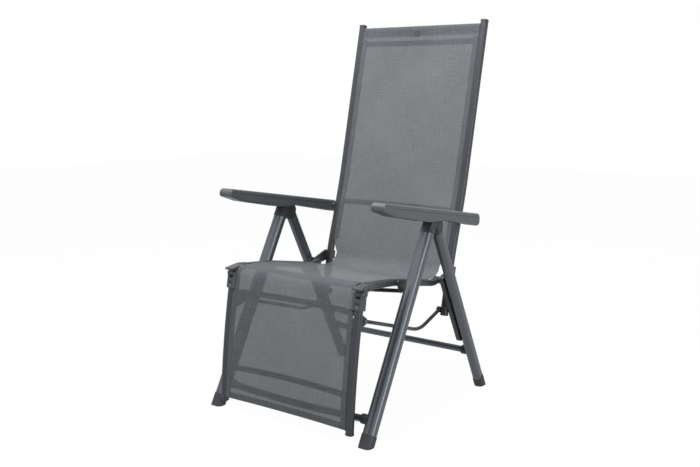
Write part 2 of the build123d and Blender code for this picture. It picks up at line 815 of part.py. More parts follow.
add_pair("back_tube", back_tube())
add_pair("back_clamp", back_clamp())
back_line = back_path()
back_size = (back_tube_width, back_tube_depth, back_tube_corner)
add_both("back_top_caps", end_cap(*back_size, back_line @ 1, back_line % 1))
add_both("back_low_caps", end_cap(*back_size, back_line @ 0, -(back_line % 0)))
lower_centre = back_bar_centre(back_lower_bar_z, back_points[1], back_points[2])
upper_centre = back_bar_centre(back_upper_bar_z, back_points[2], back_points[3])
top_centre = back_bar_centre(back_top_bar_z, back_points[2], back_points[3])
pieces["back_lower_bar"] = cross_bar(back_bar_radius, tube_inner_x, lower_centre, back_bar_bow, 0)
pieces["back_upper_bar"] = cross_bar(back_bar_radius, tube_inner_x, upper_centre, back_bar_bow, 0)
pieces["back_top_bar"] = disc(top_centre, back_bar_radius, -tube_inner_x, tube_inner_x)

arm = whole_arm()
below, front = arm_regions()
arm_bore = disc(arm_pivot, arm_pin_radius + play, leg_x - arm_width, arm_pin_end_x + play)
add_pair("arm_shell", arm - below - front - arm_bore)
add_pair("arm_tray", arm_tray(arm, below, front))
add_pair("arm_cap", arm & front)

seat_half = rail_inner_x - gap
back_half = tube_inner_x - gap + cloth_lap
seat_line = [(y, under(rail_points[0], rail_points[1], y)) for y in (seat_cloth_tongue_y, rail_crest_y)]
seat_line.append((seat_cloth_rear_y, under(rail_points[1], rail_points[2], seat_cloth_rear_y)))
seat_cloth = sheet(side_path(shifted(seat_line, cloth_lift), rail_crest_bend, 0), 2 * seat_half)
seat_corner = Box(2 * cloth_notch, cut_block, cut_block, align=(Align.CENTER, Align.MAX, Align.CENTER))
seat_corner = Pos(seat_half, seat_cloth_front_y, rail_front_z) * seat_corner
pieces["seat_cloth"] = seat_cloth - seat_corner - mirror(seat_corner, about=Plane.YZ)
foot_cloth_heights = (foot_cloth_low_z, foot_tube_mid_z, foot_cloth_tongue_z)
foot_line_points = [toward(foot_at(z), knee, 0, cloth_lift) for z in foot_cloth_heights]
foot_cloth = sheet(Plane.YZ * ThreePointArc(*foot_line_points), 2 * back_half)
pieces["foot_cloth"] = notched(foot_cloth, back_half, knee_y, foot_cloth_notch_z, True)
back_line_points = [between(back_points[0], back_points[1], back_cloth_tongue_z), back_points[2],
                    between(back_points[2], back_points[3], back_top_bar_z - back_hem)]
back_cloth = sheet(side_path(shifted(back_line_points, cloth_lift), back_waist_bend, 0), 2 * back_half)
pieces["back_cloth"] = notched(back_cloth, back_half, back_knee_y, back_cloth_low_z, False)

boxes = [piece.bounding_box() for piece in pieces.values()]
middle_y = (min(box.min.Y for box in boxes) + max(box.max.Y for box in boxes)) / 2
os.makedirs("parts", exist_ok=True)
for name, piece in pieces.items():
    export_step(Pos(0, -middle_y, 0) * piece, "parts/" + name + ".step")
print("moved back by", round(-middle_y, 3), "pieces", len(pieces))
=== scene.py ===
from math import atan2, cos, hypot, radians, sin

import bmesh
import bpy
from mathutils import Matrix, Vector


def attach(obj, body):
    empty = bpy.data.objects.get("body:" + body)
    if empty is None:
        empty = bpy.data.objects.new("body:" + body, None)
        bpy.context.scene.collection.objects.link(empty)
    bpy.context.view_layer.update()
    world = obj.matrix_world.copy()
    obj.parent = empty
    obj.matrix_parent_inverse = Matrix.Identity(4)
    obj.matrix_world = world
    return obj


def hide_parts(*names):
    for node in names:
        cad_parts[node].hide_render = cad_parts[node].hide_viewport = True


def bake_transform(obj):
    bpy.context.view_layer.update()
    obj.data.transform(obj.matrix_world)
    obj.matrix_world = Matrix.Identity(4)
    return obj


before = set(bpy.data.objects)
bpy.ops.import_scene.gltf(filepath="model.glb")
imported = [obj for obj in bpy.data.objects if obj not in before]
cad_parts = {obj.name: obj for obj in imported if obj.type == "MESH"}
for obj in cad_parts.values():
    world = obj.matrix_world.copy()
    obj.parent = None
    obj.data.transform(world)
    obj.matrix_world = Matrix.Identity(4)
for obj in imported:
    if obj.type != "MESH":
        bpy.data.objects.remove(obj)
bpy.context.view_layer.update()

bpy.ops.object.select_all(action="DESELECT")


# Reclining garden armchair. Lengths are in metres, z is the height above the floor, the sitter
# faces -y and has the left hand at +x.

hands = ((1, "left"), (-1, "right"))


# View and light: the camera stands in front of the chair, to the sitter's left and a little above
# the armrests. The floor is plain and pale and the surround white. A large soft lamp hangs above,
# a little to the front, with a weaker one on each side and one behind.

lamp_target = Vector((0, 0, 0.6))
surround_light = 0.15
surround_seen = 1.0
floor_width = 16
floor_grey = 0.35
floor_roughness = 0.9
floor_glow = 1.03
floor_glow_share = 0.95

camera_data = bpy.data.cameras.new("camera")
camera_data.sensor_width = 36
camera_data.lens = 46.135
camera = bpy.data.objects.new("camera", camera_data)
camera.location = (1.680, -2.309, 1.003)
camera.rotation_euler = (radians(80.66), 0, radians(36.57))
bpy.context.scene.collection.objects.link(camera)
bpy.context.scene.camera = camera
bpy.context.scene.view_settings.view_transform = "Standard"


def soft_lamp(name, width, height, power, place):
    """A rectangular lamp that faces the middle of the chair."""
    lamp_data = bpy.data.lights.new(name, "AREA")
    lamp_data.shape = "RECTANGLE"
    lamp_data.size = width
    lamp_data.size_y = height
    lamp_data.energy = power
    lamp = bpy.data.objects.new(name, lamp_data)
    lamp.location = place
    aim = lamp_target - Vector(place)
    lamp.rotation_euler = aim.to_track_quat("-Z", "Y").to_euler()
    bpy.context.scene.collection.objects.link(lamp)


soft_lamp("lamp_above", width=2.4, height=2.0, power=106, place=(-0.4, -0.8, 2.9))
soft_lamp("lamp_front", width=0.5, height=2.2, power=7, place=(-2.6, -1.6, 1.7))
soft_lamp("lamp_side", width=0.9, height=2.2, power=50, place=(2.7, -1.2, 1.3))
soft_lamp("lamp_behind", width=2.0, height=1.2, power=16, place=(0.6, 2.8, 2.4))


def add_node(tree, kind, inputs, **settings):
    """A shader node with its settings, and its inputs, by name or by place, set or linked."""
    made = tree.nodes.new("ShaderNode" + kind)
    for name, value in settings.items():
        setattr(made, name, value)
    for name, value in inputs.items():
        if isinstance(value, bpy.types.NodeSocket):
            tree.links.new(value, made.inputs[name])
        else:
            made.inputs[name].default_value = value
    return made


def seen_directly(tree):
    """1 where the camera or a reflection looks, also through the cloth, and 0 for the light itself."""
    ray = add_node(tree, "LightPath", {})
    seen = add_node(tree, "Math", {0: ray.outputs["Is Camera Ray"], 1: ray.outputs["Is Glossy Ray"]},
                    operation="MAXIMUM")
    seen = add_node(tree, "Math", {0: seen.outputs[0], 1: ray.outputs["Is Transmission Ray"]},
                    operation="MAXIMUM")
    return seen.outputs[0]


surround = bpy.data.worlds.new("surround")
bpy.context.scene.world = surround
surround.use_nodes = True
sky = surround.node_tree
glow = add_node(sky, "Math", {0: seen_directly(sky), 1: surround_seen - surround_light, 2: surround_light},
                operation="MULTIPLY_ADD")
sky.nodes["Background"].inputs["Color"].default_value = (1, 1, 1, 1)
sky.links.new(glow.outputs[0], sky.nodes["Background"].inputs["Strength"])

bpy.ops.mesh.primitive_plane_add(size=floor_width)
floor = bpy.context.object
floor.name = "floor"
floor_finish = bpy.data.materials.new("pale_floor")
floor_finish.use_nodes = True
floor_tree = floor_finish.node_tree
floor_shader = floor_tree.nodes["Principled BSDF"]
floor_shader.inputs["Base Color"].default_value = (floor_grey, floor_grey, floor_grey, 1)
floor_shader.inputs["Roughness"].default_value = floor_roughness
floor_white = add_node(floor_tree, "Emission", {"Color": (1, 1, 1, 1), "Strength": floor_glow})
white_share = add_node(floor_tree, "Math", {0: seen_directly(floor_tree), 1: floor_glow_share},
                       operation="MULTIPLY")
floor_surface = add_node(floor_tree, "MixShader", {0: white_share.outputs[0], 1: floor_shader.outputs[0],
                                                   2: floor_white.outputs[0]})
floor_tree.links.new(floor_surface.outputs[0], floor_tree.nodes["Material Output"].inputs["Surface"])
floor.data.materials.append(floor_finish)
floor.select_set(False)


# Legs and cross bars: drawn aluminium tubes, powder coated in anthracite. The front pair has a
# shallow groove down its face. The coat has a fine grain and a slightly uneven gloss.

cloud_scale = 11
cloud_detail = 4
cloud_roughness = 0.6
cloud_low = 0.3
cloud_high = 0.7
cloud_share = 0.65
speckle_detail = 2
speckle_share = 0.35
speckle_relief = 0.35
shade_offset = 0.18
gloss_below = 0.05
gloss_above = 0.06


def coat(name, colour, roughness, grain=2400, depth=0.00012, spread=0.12, metallic=0.0, specular=0.5):
    """A painted or moulded finish: even colour with faint clouds, a fine grain and uneven gloss.

    grain is the scale of its speckle, depth the relief of that, spread how far its colour varies."""
    finish = bpy.data.materials.new(name)
    finish.use_nodes = True
    tree = finish.node_tree
    shader = tree.nodes["Principled BSDF"]
    place = add_node(tree, "TexCoord", {}).outputs["Object"]
    clouds = add_node(tree, "TexNoise", {"Vector": place, "Scale": cloud_scale, "Detail": cloud_detail,
                                         "Roughness": cloud_roughness})
    speckle = add_node(tree, "TexNoise", {"Vector": place, "Scale": grain, "Detail": speckle_detail})
    shade = add_node(tree, "Math", {0: clouds.outputs["Fac"], 1: cloud_share, 2: shade_offset},
                     operation="MULTIPLY_ADD")
    shade = add_node(tree, "Math", {0: speckle.outputs["Fac"], 1: speckle_share, 2: shade.outputs[0]},
                     operation="MULTIPLY_ADD")
    low = tuple(part * (1 - spread) for part in colour)
    high = tuple(part * (1 + spread) for part in colour)
    tint = add_node(tree, "Mix", {0: shade.outputs[0], 6: (*low, 1), 7: (*high, 1)}, data_type="RGBA")
    gloss = add_node(tree, "MapRange", {0: clouds.outputs["Fac"], 1: cloud_low, 2: cloud_high,
                                        3: roughness - gloss_below, 4: roughness + gloss_above})
    bump = add_node(tree, "Bump", {"Height": speckle.outputs["Fac"], "Strength": speckle_relief,
                                   "Distance": depth})
    shader.inputs["Metallic"].default_value = metallic
    shader.inputs["Specular IOR Level"].default_value = specular
    tree.links.new(tint.outputs[2], shader.inputs["Base Color"])
    tree.links.new(gloss.outputs[0], shader.inputs["Roughness"])
    tree.links.new(bump.outputs[0], shader.inputs["Normal"])
    return finish


def dress(finish, *names):
    """Gives CAD pieces their finish."""
    for name in names:
        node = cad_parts[name]
        if not node.material_slots:
            node.data.materials.append(finish)
        for place in node.material_slots:
            place.material = finish


leg_coat = coat("leg_coat", (0.088, 0.097, 0.110), roughness=0.34, metallic=0.55, specular=0.4)
dress(leg_coat, "front_leg_left", "front_leg_right", "rear_leg_left", "rear_leg_right",
      "front_crossbar", "rear_crossbar")


# Feet, bushes and hinge parts: injection moulded polyamide in a darker, duller grey, with the
# fine spark-eroded grain of its mould. The feet are sleeves, the bushes saddle the legs, and
# the forked heads and round bosses make the hinge under each armrest.

dark_moulding = coat("dark_moulding", (0.026, 0.029, 0.034), roughness=0.55, specular=0.35, grain=1500,
                     depth=0.00025, spread=0.16)
dress(dark_moulding, "front_foot_left", "front_foot_right", "rear_foot_left", "rear_foot_right",
      "front_bushes", "rear_bushes", "leg_head_left", "leg_head_right", "rear_boss_left", "rear_boss_right")


# Armrests: two shells and a front cap of grey moulded plastic, on each side. The upper shell is
# smooth to the arm, the lower one carries the ribs, and a fine joint runs between them. The joint
# is joint_height above the floor at y = 0 and falls towards the back. The shade in it is painted
# as a dark hairline.

joint_slope = 0.16734
joint_height = 0.62413
joint_core = 0.0006
joint_edge = 0.0014
joint_tint = 0.15
joint_shade_colour = (0.008, 0.008, 0.009, 1)


def arm_moulding(name, colour, roughness):
    """The grey moulding with a painted dark hairline of shade where the shells meet."""
    finish = coat(name, colour, roughness, grain=1300, depth=0.0003, spread=0.1)
    tree = finish.node_tree
    shader = tree.nodes["Principled BSDF"]
    place = add_node(tree, "TexCoord", {}).outputs["Object"]
    height = add_node(tree, "VectorMath", {0: place, 1: (0, joint_slope, 1)}, operation="DOT_PRODUCT")
    away = add_node(tree, "Math", {0: height.outputs["Value"], 1: joint_height}, operation="SUBTRACT")
    away = add_node(tree, "Math", {0: away.outputs[0]}, operation="ABSOLUTE")
    line = add_node(tree, "MapRange", {0: away.outputs[0], 1: joint_core, 2: joint_edge, 3: joint_tint, 4: 1})
    tint = shader.inputs["Base Color"].links[0].from_socket
    # Painted shade: the colour darkens to near black along the joint.
    dark = add_node(tree, "Mix", {0: line.outputs[0], 6: joint_shade_colour, 7: tint}, data_type="RGBA")
    tree.links.new(dark.outputs[2], shader.inputs["Base Color"])
    return finish


arm_grey = arm_moulding("arm_grey", (0.068, 0.074, 0.082), roughness=0.46)
dress(arm_grey, "arm_shell_left", "arm_shell_right", "arm_tray_left", "arm_tray_right")
cap_grey = coat("cap_grey", (0.060, 0.066, 0.073), roughness=0.43, grain=1300, depth=0.0003)
dress(cap_grey, "arm_cap_left", "arm_cap_right")


# Small turned parts: the bolts, pins, rivets and screws are steel with a dark finish, worn a
# little brighter in places. Rivets, screws and knobs are small heads, drawn once and copied.

dark_steel = coat("dark_steel", (0.16, 0.165, 0.17), roughness=0.32, grain=900, depth=0.00008, spread=0.3,
                  metallic=0.8)
dress(dark_steel, "seat_bolts", "arm_pins", "link_pins", "knee_pins")

crease_angle = radians(32)
upward = 0.9


def finish_copy(piece, name, place, facing, body):
    """A copy of a small piece that was modelled on the z axis, set at a place and turned to face a way."""
    copy = bpy.data.objects.new(name, piece.data.copy())
    turn = Vector((0, 0, 1)).rotation_difference(Vector(facing)).to_matrix().to_4x4()
    copy.data.transform(Matrix.Translation(place) @ turn)
    bpy.context.scene.collection.objects.link(copy)
    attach(copy, body)


def turned_head(name, radius, height, recess, finish):
    """A round head with a rounded rim and a sunk socket, its foot at the origin."""
    rounding = height * 0.55
    border = radius * 0.2
    socket_wall = radius * 0.05
    bpy.ops.object.select_all(action="DESELECT")
    bpy.ops.mesh.primitive_cylinder_add(vertices=28, radius=radius, depth=height, location=(0, 0, height / 2))
    head = bpy.context.object
    head.name = name
    bpy.ops.object.transform_apply(location=True, rotation=True, scale=True)
    bpy.ops.object.mode_set(mode="EDIT")
    bpy.ops.mesh.select_mode(type="FACE")
    bpy.ops.mesh.select_all(action="DESELECT")
    shape = bmesh.from_edit_mesh(head.data)
    for face in shape.faces:
        face.select = face.normal.z > upward
    bmesh.update_edit_mesh(head.data)
    bpy.ops.mesh.bevel(offset=rounding, segments=4, affect="EDGES")
    bpy.ops.mesh.select_all(action="DESELECT")
    shape = bmesh.from_edit_mesh(head.data)
    top = max(shape.faces, key=lambda face: (face.normal.z > upward, face.calc_area()))
    top.select = True
    bmesh.update_edit_mesh(head.data)
    bpy.ops.mesh.inset(thickness=border)
    bpy.ops.mesh.extrude_region_move(TRANSFORM_OT_translate={"value": (0, 0, -recess)})
    bpy.ops.mesh.inset(thickness=socket_wall)
    bpy.ops.mesh.select_all(action="SELECT")
    bpy.ops.mesh.normals_make_consistent(inside=False)
    bpy.ops.object.mode_set(mode="OBJECT")
    bpy.ops.object.shade_smooth_by_angle(angle=crease_angle)
    head.data.materials.append(finish)
    return head


# Slide rails: black plastic channels on the inner side of the rear legs, in which the shoes of
# the seat run. Each is held by three rivets through its stand-off pads.

black_moulding = coat("black_moulding", (0.018, 0.019, 0.021), roughness=0.48, grain=1600, depth=0.0002,
                      spread=0.2)
dress(black_moulding, "slide_rail_left", "slide_rail_right", "slide_shoe_left", "slide_shoe_right")

leg_top = (-0.001, 0.588)
leg_run = Vector((0, 0.309, -0.588))
leg_way = leg_run.normalized()
leg_front = Vector((0, leg_run.z, -leg_run.y)).normalized()
rivet_x = 0.271
rivet_forward = 0.0079
rivet_start = 0.2174
rivet_pitch = 0.1101
rail_rivets = 3

rivet = turned_head("rivet", radius=0.0040, height=0.0009, recess=0.0003, finish=dark_steel)
for side, hand in hands:
    for count in range(rail_rivets):
        down = rivet_start + count * rivet_pitch
        place = Vector((side * rivet_x, *leg_top)) + leg_way * down + leg_front * rivet_forward
        finish_copy(rivet, "slide_rivet_{}_{}".format(hand, count + 1), place, (-side, 0, 0), "frame")
bpy.data.objects.remove(rivet)


# Seat frame: bent aluminium rails, lighter in gauge than the legs, with a dropped cross tube
# under the sitter and a bowed one behind the knees. The tubes are welded, then coated.

frame_coat = coat("frame_coat", (0.042, 0.046, 0.053), roughness=0.32, metallic=0.2, specular=0.3)
dress(frame_coat, "seat_rail_left", "seat_rail_right", "seat_drop_bar", "seat_front_bar")
dress(black_moulding, "pivot_bracket_left", "pivot_bracket_right")

weld_radius = 0.0017
weld_rise = 0.0004
weld_unevenness = 0.00035
rail_weld_x = 0.2338
tube_weld_x = 0.2318


def join_pieces(pieces, name):
    """Joins pieces into the first one, which stays selected."""
    bpy.ops.object.select_all(action="DESELECT")
    for piece in pieces:
        piece.select_set(True)
    bpy.context.view_layer.objects.active = pieces[0]
    bpy.ops.object.join()
    pieces[0].name = name
    return pieces[0]


def weld_rings(name, radius, x, y, z, body):
    """The small uneven weld beads at both ends of a cross tube."""
    bpy.ops.object.select_all(action="DESELECT")
    rings = []
    for side in (1, -1):
        bpy.ops.mesh.primitive_torus_add(major_radius=radius + weld_rise, minor_radius=weld_radius,
                                         major_segments=48, minor_segments=10, location=(side * x, y, z),
                                         rotation=(0, radians(90), 0))
        rings.append(bpy.context.object)
    weld = join_pieces(rings, name)
    bpy.ops.object.transform_apply(location=True, rotation=True, scale=True)
    bpy.ops.object.mode_set(mode="EDIT")
    bpy.ops.mesh.select_all(action="SELECT")
    bpy.ops.transform.vertex_random(offset=weld_unevenness, uniform=0.4, normal=0.5, seed=7)
    bpy.ops.object.mode_set(mode="OBJECT")
    bpy.ops.object.shade_smooth()
    weld.data.materials.append(frame_coat)
    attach(weld, body)
    weld.select_set(False)


weld_rings("seat_front_welds", radius=0.0080, x=rail_weld_x, y=-0.2510, z=0.4364, body="frame")
weld_rings("seat_drop_welds", radius=0.0065, x=rail_weld_x, y=-0.0310, z=0.4078, body="frame")


# Knees: moulded knuckles on the seat rails and forks on the footrest tubes, with a pin through
# both and a round knob outside. A small screw holds each fork to its tube, and a block fills it.

knuckle_grey = coat("knuckle_grey", (0.046, 0.050, 0.056), roughness=0.45, grain=1500, depth=0.00025,
                    spread=0.14)
dress(knuckle_grey, "front_knuckle_left", "front_knuckle_right", "foot_fork_left", "foot_fork_right")

fork_x = 0.244
fork_face = (0, -0.988, 0.155)
fork_screw_place = (-0.3411, 0.3912)
knob_x = 0.2618
knob_place = (-0.3240, 0.4280)
block_place = (-0.32734, 0.40665)
block_size = (0.0164, 0.0212, 0.0207)
block_tilt = radians(8.9)
block_rounding = 0.0010


def knee_block(name, x):
    """The block with rounded edges that fills a fork."""
    bpy.ops.object.select_all(action="DESELECT")
    bpy.ops.mesh.primitive_cube_add(size=1, location=(x, *block_place), rotation=(block_tilt, 0, 0))
    block = bpy.context.object
    block.name = name
    block.scale = block_size
    bpy.ops.object.transform_apply(location=True, rotation=True, scale=True)
    bpy.ops.object.mode_set(mode="EDIT")
    bpy.ops.mesh.select_all(action="SELECT")
    bpy.ops.mesh.bevel(offset=block_rounding, segments=3, affect="EDGES")
    bpy.ops.object.mode_set(mode="OBJECT")
    bpy.ops.object.shade_smooth_by_angle(angle=crease_angle)
    block.data.materials.append(knuckle_grey)
    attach(block, "footrest")
    block.select_set(False)


screw = turned_head("screw", radius=0.0034, height=0.0016, recess=0.0009, finish=dark_steel)
knob = turned_head("knob", radius=0.0088, height=0.0016, recess=0.0006, finish=knuckle_grey)
for side, hand in hands:
    finish_copy(screw, "fork_screw_" + hand, (side * fork_x, *fork_screw_place), fork_face, "footrest")
    finish_copy(knob, "knee_knob_" + hand, (side * knob_x, *knob_place), (side, 0, 0), "frame")
    knee_block("knee_block_" + hand, side * fork_x)
bpy.data.objects.remove(knob)


# Footrest frame: two slightly bowed tubes with two cross tubes bowed away from the legs, plates
# for the link rods behind, and a plug in each lower end.

dress(frame_coat, "foot_tube_left", "foot_tube_right", "foot_upper_bar", "foot_lower_bar", "link_ears")
dress(dark_moulding, "foot_caps")
weld_rings("foot_upper_welds", radius=0.0090, x=tube_weld_x, y=-0.3292, z=0.3714, body="footrest")
weld_rings("foot_lower_welds", radius=0.0090, x=tube_weld_x, y=-0.3618, z=0.1362, body="footrest")


# Link rods: bent round bars from the footrest to the back, with an eye at each end.

dress(frame_coat, "link_rod_left", "link_rod_right")


# Back frame: two tall tubes bent twice, with two bowed cross tubes and a straight one at the
# top. Black clamps join them to the seat pivots, each held by two screws.

dress(frame_coat, "back_tube_left", "back_tube_right", "back_lower_bar", "back_upper_bar", "back_top_bar")
dress(black_moulding, "back_clamp_left", "back_clamp_right")
dress(dark_moulding, "back_top_caps", "back_low_caps")

clamp_screw_x = 0.2590
clamp_screw_y = 0.1576
clamp_screw_z = 0.4135
clamp_screw_pitch = 0.0160
clamp_screws = 2

weld_rings("back_lower_welds", radius=0.0095, x=tube_weld_x, y=0.2237, z=0.5989, body="back")
weld_rings("back_upper_welds", radius=0.0095, x=tube_weld_x, y=0.3542, z=1.1492, body="back")
weld_rings("back_top_welds", radius=0.0095, x=tube_weld_x, y=0.3647, z=1.1952, body="back")
for side, hand in hands:
    for count in range(clamp_screws):
        place = (side * clamp_screw_x, clamp_screw_y + count * clamp_screw_pitch, clamp_screw_z)
        finish_copy(screw, "clamp_screw_{}_{}".format(hand, count + 1), place, (side, 0, 0), "back")
bpy.data.objects.remove(screw)


# Weave: open sling of crossed threads in uneven tones, with a stitched seam inside each side
# edge. It follows the cloth's flat cut, which is measured from the foot of the footrest up.
# wave_length is that of a wave texture whose scale is 1.

wave_length = 0.314159
warp_pitch = 0.0016
# The colour is scaled by the thread height, from valley_shade to crest_highlight: painted shade in the
# valleys between threads and a painted highlight on their crests.
valley_shade = 0.55
crest_highlight = 1.15
streak_across = 400
streak_along = 18
streak_weight = 1.2
cloth_cloud_scale = 5
tone_low = 1.05
tone_high = 2.35
dark_yarn = (0.070, 0.077, 0.087, 1)
pale_yarn = (0.158, 0.172, 0.188, 1)
seam_x = 0.2150
seam_half_width = 0.0007
stitch_pitch = 0.0046
stitch_length = 0.0034
stitch_shade = -0.45
stitch_rise = 1.2
weave_relief = 0.5
weave_depth = 0.0004
cloth_opacity = 0.735


def weave_threads(tree, cut):
    """The height of the crossed threads, from 0 to 1."""
    warp = add_node(tree, "TexWave", {"Vector": cut, "Scale": wave_length / warp_pitch}, bands_direction="X")
    weft = add_node(tree, "TexWave", {"Vector": cut, "Scale": wave_length / warp_pitch}, bands_direction="Y")
    over = add_node(tree, "TexChecker", {"Vector": cut, "Scale": 1 / warp_pitch, "Color1": (0, 0, 0, 1),
                                         "Color2": (1, 1, 1, 1)})
    return add_node(tree, "Mix", {0: over.outputs["Fac"], 2: warp.outputs["Fac"], 3: weft.outputs["Fac"]})


def yarn_tone(tree, cut):
    """The yarn's colour, streaked along the threads and faintly clouded."""
    down_run = add_node(tree, "Mapping", {"Vector": cut, "Scale": (streak_across, streak_along, 1)})
    cross_run = add_node(tree, "Mapping", {"Vector": cut, "Scale": (streak_along, streak_across, 1)})
    down_streak = add_node(tree, "TexNoise", {"Vector": down_run.outputs[0], "Scale": 1, "Detail": 2})
    cross_streak = add_node(tree, "TexNoise", {"Vector": cross_run.outputs[0], "Scale": 1, "Detail": 2})
    streaks = add_node(tree, "Math", {0: down_streak.outputs["Fac"], 1: cross_streak.outputs["Fac"]},
                       operation="ADD")
    clouds = add_node(tree, "TexNoise", {"Vector": cut, "Scale": cloth_cloud_scale, "Detail": 2})
    tone = add_node(tree, "Math", {0: streaks.outputs[0], 1: streak_weight, 2: clouds.outputs["Fac"]},
                    operation="MULTIPLY_ADD")
    tone = add_node(tree, "MapRange", {0: tone.outputs[0], 1: tone_low, 2: tone_high, 3: 0, 4: 1})
    return add_node(tree, "Mix", {0: tone.outputs[0], 6: dark_yarn, 7: pale_yarn}, data_type="RGBA")


def seam_stitches(tree, cut):
    """1 on the stitches of the seams and 0 beside them."""
    cut_xy = add_node(tree, "SeparateXYZ", {"Vector": cut})
    aside = add_node(tree, "Math", {0: cut_xy.outputs["X"]}, operation="ABSOLUTE")
    seam = add_node(tree, "Math", {0: aside.outputs[0], 1: seam_x, 2: seam_half_width}, operation="COMPARE")
    stitch = add_node(tree, "Math", {0: cut_xy.outputs["Y"], 1: stitch_pitch}, operation="MODULO")
    stitch = add_node(tree, "Math", {0: stitch.outputs[0], 1: stitch_length}, operation="LESS_THAN")
    return add_node(tree, "Math", {0: stitch.outputs[0], 1: seam.outputs[0]}, operation="MULTIPLY")


def sling_weave():
    """The finish of the cloth."""
    finish = bpy.data.materials.new("sling_weave")
    finish.use_nodes = True
    tree = finish.node_tree
    shader = tree.nodes["Principled BSDF"]
    cut = add_node(tree, "UVMap", {}, uv_map="cut").outputs["UV"]
    thread = weave_threads(tree, cut)
    yarn = yarn_tone(tree, cut)
    stitch = seam_stitches(tree, cut)
    # Painted shade in the thread valleys and a painted highlight on the thread crests.
    depth = add_node(tree, "MapRange", {0: thread.outputs[0], 3: valley_shade, 4: crest_highlight})
    shade = add_node(tree, "Math", {0: stitch.outputs[0], 1: stitch_shade, 2: depth.outputs[0]},
                     operation="MULTIPLY_ADD")
    colour = add_node(tree, "VectorMath", {0: yarn.outputs[2], "Scale": shade.outputs[0]}, operation="SCALE")
    raised = add_node(tree, "Math", {0: stitch.outputs[0], 1: stitch_rise, 2: thread.outputs[0]},
                      operation="MULTIPLY_ADD")
    relief = add_node(tree, "Bump", {"Height": raised.outputs[0], "Strength": weave_relief,
                                     "Distance": weave_depth})
    tree.links.new(colour.outputs[0], shader.inputs["Base Color"])
    tree.links.new(relief.outputs[0], shader.inputs["Normal"])
    shader.inputs["Roughness"].default_value = 0.66
    shader.inputs["Specular IOR Level"].default_value = 0.35
    shader.inputs["Sheen Weight"].default_value = 0.12
    shader.inputs["Alpha"].default_value = cloth_opacity
    return finish


sling = sling_weave()


# Cloth: one length of open sling weave, from the foot of the footrest over the knees and the
# seat to the top of the back. It is cut narrower at the knees and at the hips. Its side hems
# slide into the tubes. It is laid here in five parts. Lines are in the side view, as (y, z), and
# the cloth sags between its edges.

cloth_thickness = 0.0012
cloth_columns = 40
cloth_middle = 0.2337
cloth_smoothing = radians(40)
cloth_sag = 0.0070
hem_width = 0.018
hem_inset = 0.0015
hem_gap = 0.0001
foot_half = 0.2327
seat_half = 0.2337
knee_half = 0.2243
hip_half = 0.2100


def curve_points(first, corner, last, steps):
    """Points of the smooth bend from first to last that a corner pulls out, without the last."""
    points = []
    for step in range(steps):
        t = step / steps
        points.append(tuple((1 - t) ** 2 * a + 2 * t * (1 - t) * b + t * t * c
                            for a, b, c in zip(first, corner, last)))
    return points


def run_points(first, last, steps):
    """Evenly spaced points from first towards last, without the last."""
    return [tuple(a + (b - a) * step / steps for a, b in zip(first, last)) for step in range(steps)]


def ramp(value, start, end):
    """0 before start, 1 past end and evenly rising from one to the other."""
    return max(0, min(1, (value - start) / (end - start)))


def cloth_rows(points, half_widths, sags):
    """Rows over the full width, from values given at each point."""
    return [(y, z, sag, -half, half) for (y, z), half, sag in zip(points, half_widths, sags)]


def lay_cloth(name, rows, behind=0, columns=cloth_columns, run_start=0.0):
    """Cloth along rows of (y, z, sag, left x, right x), its face towards the left of the line.

    behind is how far its face lies behind the line, and run_start how much of the length of cloth
    comes before it. Gives the piece, its length and its flat area."""
    mesh = bpy.data.meshes.new(name)
    shape = bmesh.new()
    cut = shape.loops.layers.uv.new("cut")
    grid = []
    places = []
    length = run_start
    area = 0
    for index, (y, z, sag, left, right) in enumerate(rows):
        before = rows[max(index - 1, 0)]
        after = rows[min(index + 1, len(rows) - 1)]
        along = Vector((0, after[0] - before[0], after[1] - before[1])).normalized()
        face = Vector((0, -along.z, along.y))
        if index:
            step = hypot(y - before[0], z - before[1])
            length += step
            area += step * (right - left + before[4] - before[3]) / 2
        line = []
        for column in range(columns + 1):
            x = left + (right - left) * column / columns
            hang = sag * (1 - (x / cloth_middle) ** 2)
            line.append(shape.verts.new(Vector((x, y, z)) - face * (hang + behind)))
            places.append((x, length))
        grid.append(line)
    shape.verts.index_update()
    for low, high in zip(grid, grid[1:]):
        for column in range(columns):
            patch = shape.faces.new((low[column], low[column + 1], high[column + 1], high[column]))
            for loop in patch.loops:
                loop[cut].uv = places[loop.vert.index]
    shape.normal_update()
    shape.to_mesh(mesh)
    shape.free()
    piece = bpy.data.objects.new(name, mesh)
    bpy.context.scene.collection.objects.link(piece)
    bpy.ops.object.select_all(action="DESELECT")
    bpy.context.view_layer.objects.active = piece
    piece.select_set(True)
    mesh.materials.append(sling)
    thick = piece.modifiers.new("thickness", "SOLIDIFY")
    thick.thickness = cloth_thickness
    thick.offset = -1
    bpy.ops.object.modifier_apply(modifier="thickness")
    bpy.ops.object.shade_smooth_by_angle(angle=cloth_smoothing)
    piece.select_set(False)
    return piece, length - run_start, area


def side_hems(name, rows, body):
    """The folded side hems behind a part of the cloth, both in one piece."""
    hems = []
    for side in (-1, 1):
        strip = [(y, z, sag, *sorted((side * (right - hem_width), side * (right - hem_inset))))
                 for y, z, sag, left, right in rows]
        hems.append(lay_cloth(name, strip, behind=cloth_thickness + hem_gap, columns=3)[0])
    both_hems = join_pieces(hems, name)
    both_hems.select_set(False)
    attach(both_hems, body)
    return both_hems


# Foot part: up the front of the footrest along a slightly bowed line, with a hem at its foot.

foot_low = (-0.3832, 0.0432)
foot_middle = (-0.3679, 0.2064)
foot_high = (-0.3360, 0.4094)
foot_hem_top = 0.374
knee_cut_low = 0.3755
knee_cut_high = 0.3810
bottom_hem_top = 0.064
bottom_hem_inset = 0.001

